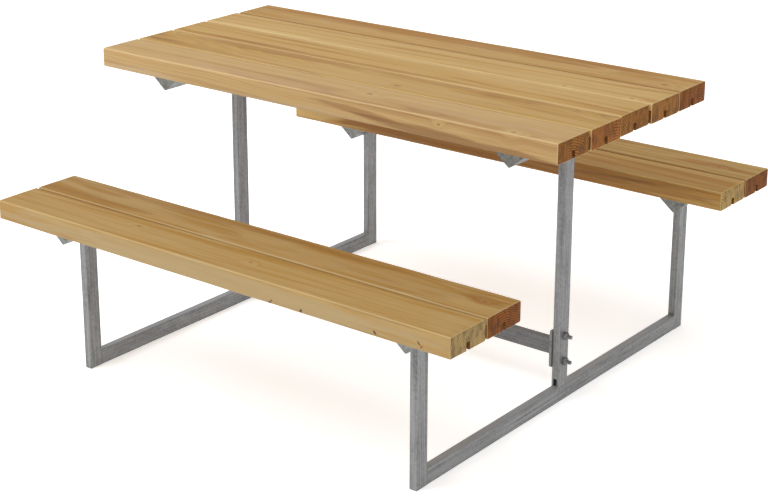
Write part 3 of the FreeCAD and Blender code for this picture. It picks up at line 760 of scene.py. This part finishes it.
for sideName, way in (("left", -1), ("right", 1)):
    low, high = (Vector(corner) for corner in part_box(sideName + "_beam_bolts"))
    corner = fastener["boltHead"] / math.sqrt(3) * mm
    heights = (low.z + corner, high.z - corner)
    turn = (0, way * math.pi / 2, 0)
    for kind, nodeEnding, look in (("bolt", "bolts", "_threaded"), ("washer", "bolt_washers", "_flat"),
                                   ("nut", "bolt_nuts", "_chamfered")):
        node = sideName + "_beam_" + nodeEnding
        start = min(abs(place[0]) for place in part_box(node))
        if kind == "bolt":      # placed by the underside of its head
            start += fastener["boltHeadHeight"] * mm
        placeFasteners(kind, [(way * start, 0, height) for height in heights], turn, node, node + look)
    for seat, planks in (("table", 5), ("front_seat", 2), ("rear_seat", 2)):
        group = sideName + "_" + seat
        low, high = (Vector(corner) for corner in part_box(group + "_screw_washers"))
        reach = fastener["screwWasher"] / 2 * mm
        middles = [sum(corner[1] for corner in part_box(seat + "_plank_" + str(n + 1))) / 2
                   for n in range(planks)]
        bench = sum(middles) / planks
        # the screws keep to the inner side of each plank, clear of the groove
        rows = [y + (-1 if y > bench + mm else 1) * fastener["screwFromMiddle"] * mm for y in middles]
        spots = [(x, y) for x in (low.x + reach, high.x - reach) for y in rows]
        washerLow = high.z - fastener["screwWasherThick"] * mm
        places = [(x, y, washerLow) for x, y in spots]
        placeFasteners("screwWasher", places, (0, 0, 0), group + "_screw_washers",
                       group + "_screw_washers_flat")
        placeFasteners("screw", places, (math.pi, 0, math.radians(30)), group + "_screws",
                       group + "_coach_screws")
for model in models.values():
    bpy.data.objects.remove(model)
print("fasteners ready")

weld = {
    "radius": 2.3, "beamRadius": 1.8, "ripple": 1.3,    # mm
    "dip": 0.84, "tail": 0.45,          # shares of the radius between ripples and at the ends
    "inset": 1, "sink": 1.2, "legInset": 2,     # mm in from a tube's edges and into a bearer
    "flank": 39.5,                      # slope of the bearers' sides, degrees
}


def makeBead(start, end, radius=weld["radius"]):  # a rippled weld bead between two points, mm
    start, end = Vector(start) * mm, Vector(end) * mm
    length = (end - start).length
    deselectAll()
    bpy.ops.mesh.primitive_cylinder_add(vertices=10, radius=radius * mm, depth=length)
    bead = bpy.context.object
    selectEdges(bead, lambda a, b: abs(a.z - b.z) > length / 2)
    cuts = max(5, int(length / mm / weld["ripple"]) | 1)
    bpy.ops.mesh.subdivide(number_cuts=cuts)
    step = length / (cuts + 1)
    bpy.ops.mesh.select_mode(type="VERT")
    for place in range(cuts + 2):
        height = -length / 2 + place * step
        shrink = weld["dip"] if place % 2 else 1.0
        if place in (0, cuts + 1):
            shrink = weld["tail"]
        bpy.ops.mesh.select_all(action="DESELECT")
        bpy.ops.object.mode_set(mode="OBJECT")
        for corner in bead.data.vertices:
            corner.select = abs(corner.co.z - height) < step / 3
        bpy.ops.object.mode_set(mode="EDIT")
        bpy.ops.transform.resize(value=(shrink, shrink, 1), center_override=(0, 0, height))
    bpy.ops.object.mode_set(mode="OBJECT")
    bead.rotation_euler = (end - start).to_track_quat("Z", "Y").to_euler()
    bead.location = (start + end) / 2
    applyPlace(bead)
    bpy.ops.object.shade_smooth_by_angle(angle=math.radians(70))
    return bead


def boxInMm(node):
    return [Vector(corner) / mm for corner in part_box(node)]


inset, legInset = weld["inset"], weld["legInset"]
rise = math.tan(math.radians(weld["flank"]))
for sideName, way in (("left", -1), ("right", 1)):
    rail, post = boxInMm(sideName + "_bottom_rail"), boxInMm(sideName + "_table_post")
    inner, outer = sorted(abs(corner.x) for corner in rail)
    xs = (way * (inner + inset), way * (outer - inset))
    ends = [(y, rail[1].z) for y in (rail[0].y, rail[1].y)] + [(y, post[0].z) for y in (post[0].y, post[1].y)]
    beads = [makeBead((xs[0], y, z), (xs[1], y, z)) for y, z in ends]
    for legName, bearerName in (("table_post", "table_bearer"), ("front_seat_leg", "front_seat_bearer"),
                                ("rear_seat_leg", "rear_seat_bearer")):
        leg, bearer = boxInMm(sideName + "_" + legName), boxInMm(sideName + "_" + bearerName)
        ridge = sum(abs(corner.x) for corner in bearer) / 2
        heights = [bearer[0].z + abs(x - ridge) * rise - weld["sink"] for x in (inner, outer)]
        for x, z in zip((inner, outer), heights):
            beads.append(makeBead((way * x, leg[0].y + legInset, z), (way * x, leg[1].y - legInset, z)))
        for y in (leg[0].y, leg[1].y):
            beads.append(makeBead((xs[0], y, heights[0]), (xs[1], y, heights[1])))
    beam = boxInMm("long_beam")
    x = way * beam[1].x
    for z in (beam[0].z, beam[1].z):
        beads.append(makeBead((x, beam[0].y + inset, z), (x, beam[1].y - inset, z), weld["beamRadius"]))
    for y in (beam[0].y, beam[1].y):
        beads.append(makeBead((x, y, beam[0].z + inset), (x, y, beam[1].z - inset), weld["beamRadius"]))
    welds = joinPieces(beads, sideName + "_weld_beads")
    welds.data.materials.clear()
    welds.data.materials.append(steel["weld"])
    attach(welds, "root")
print("welds ready")
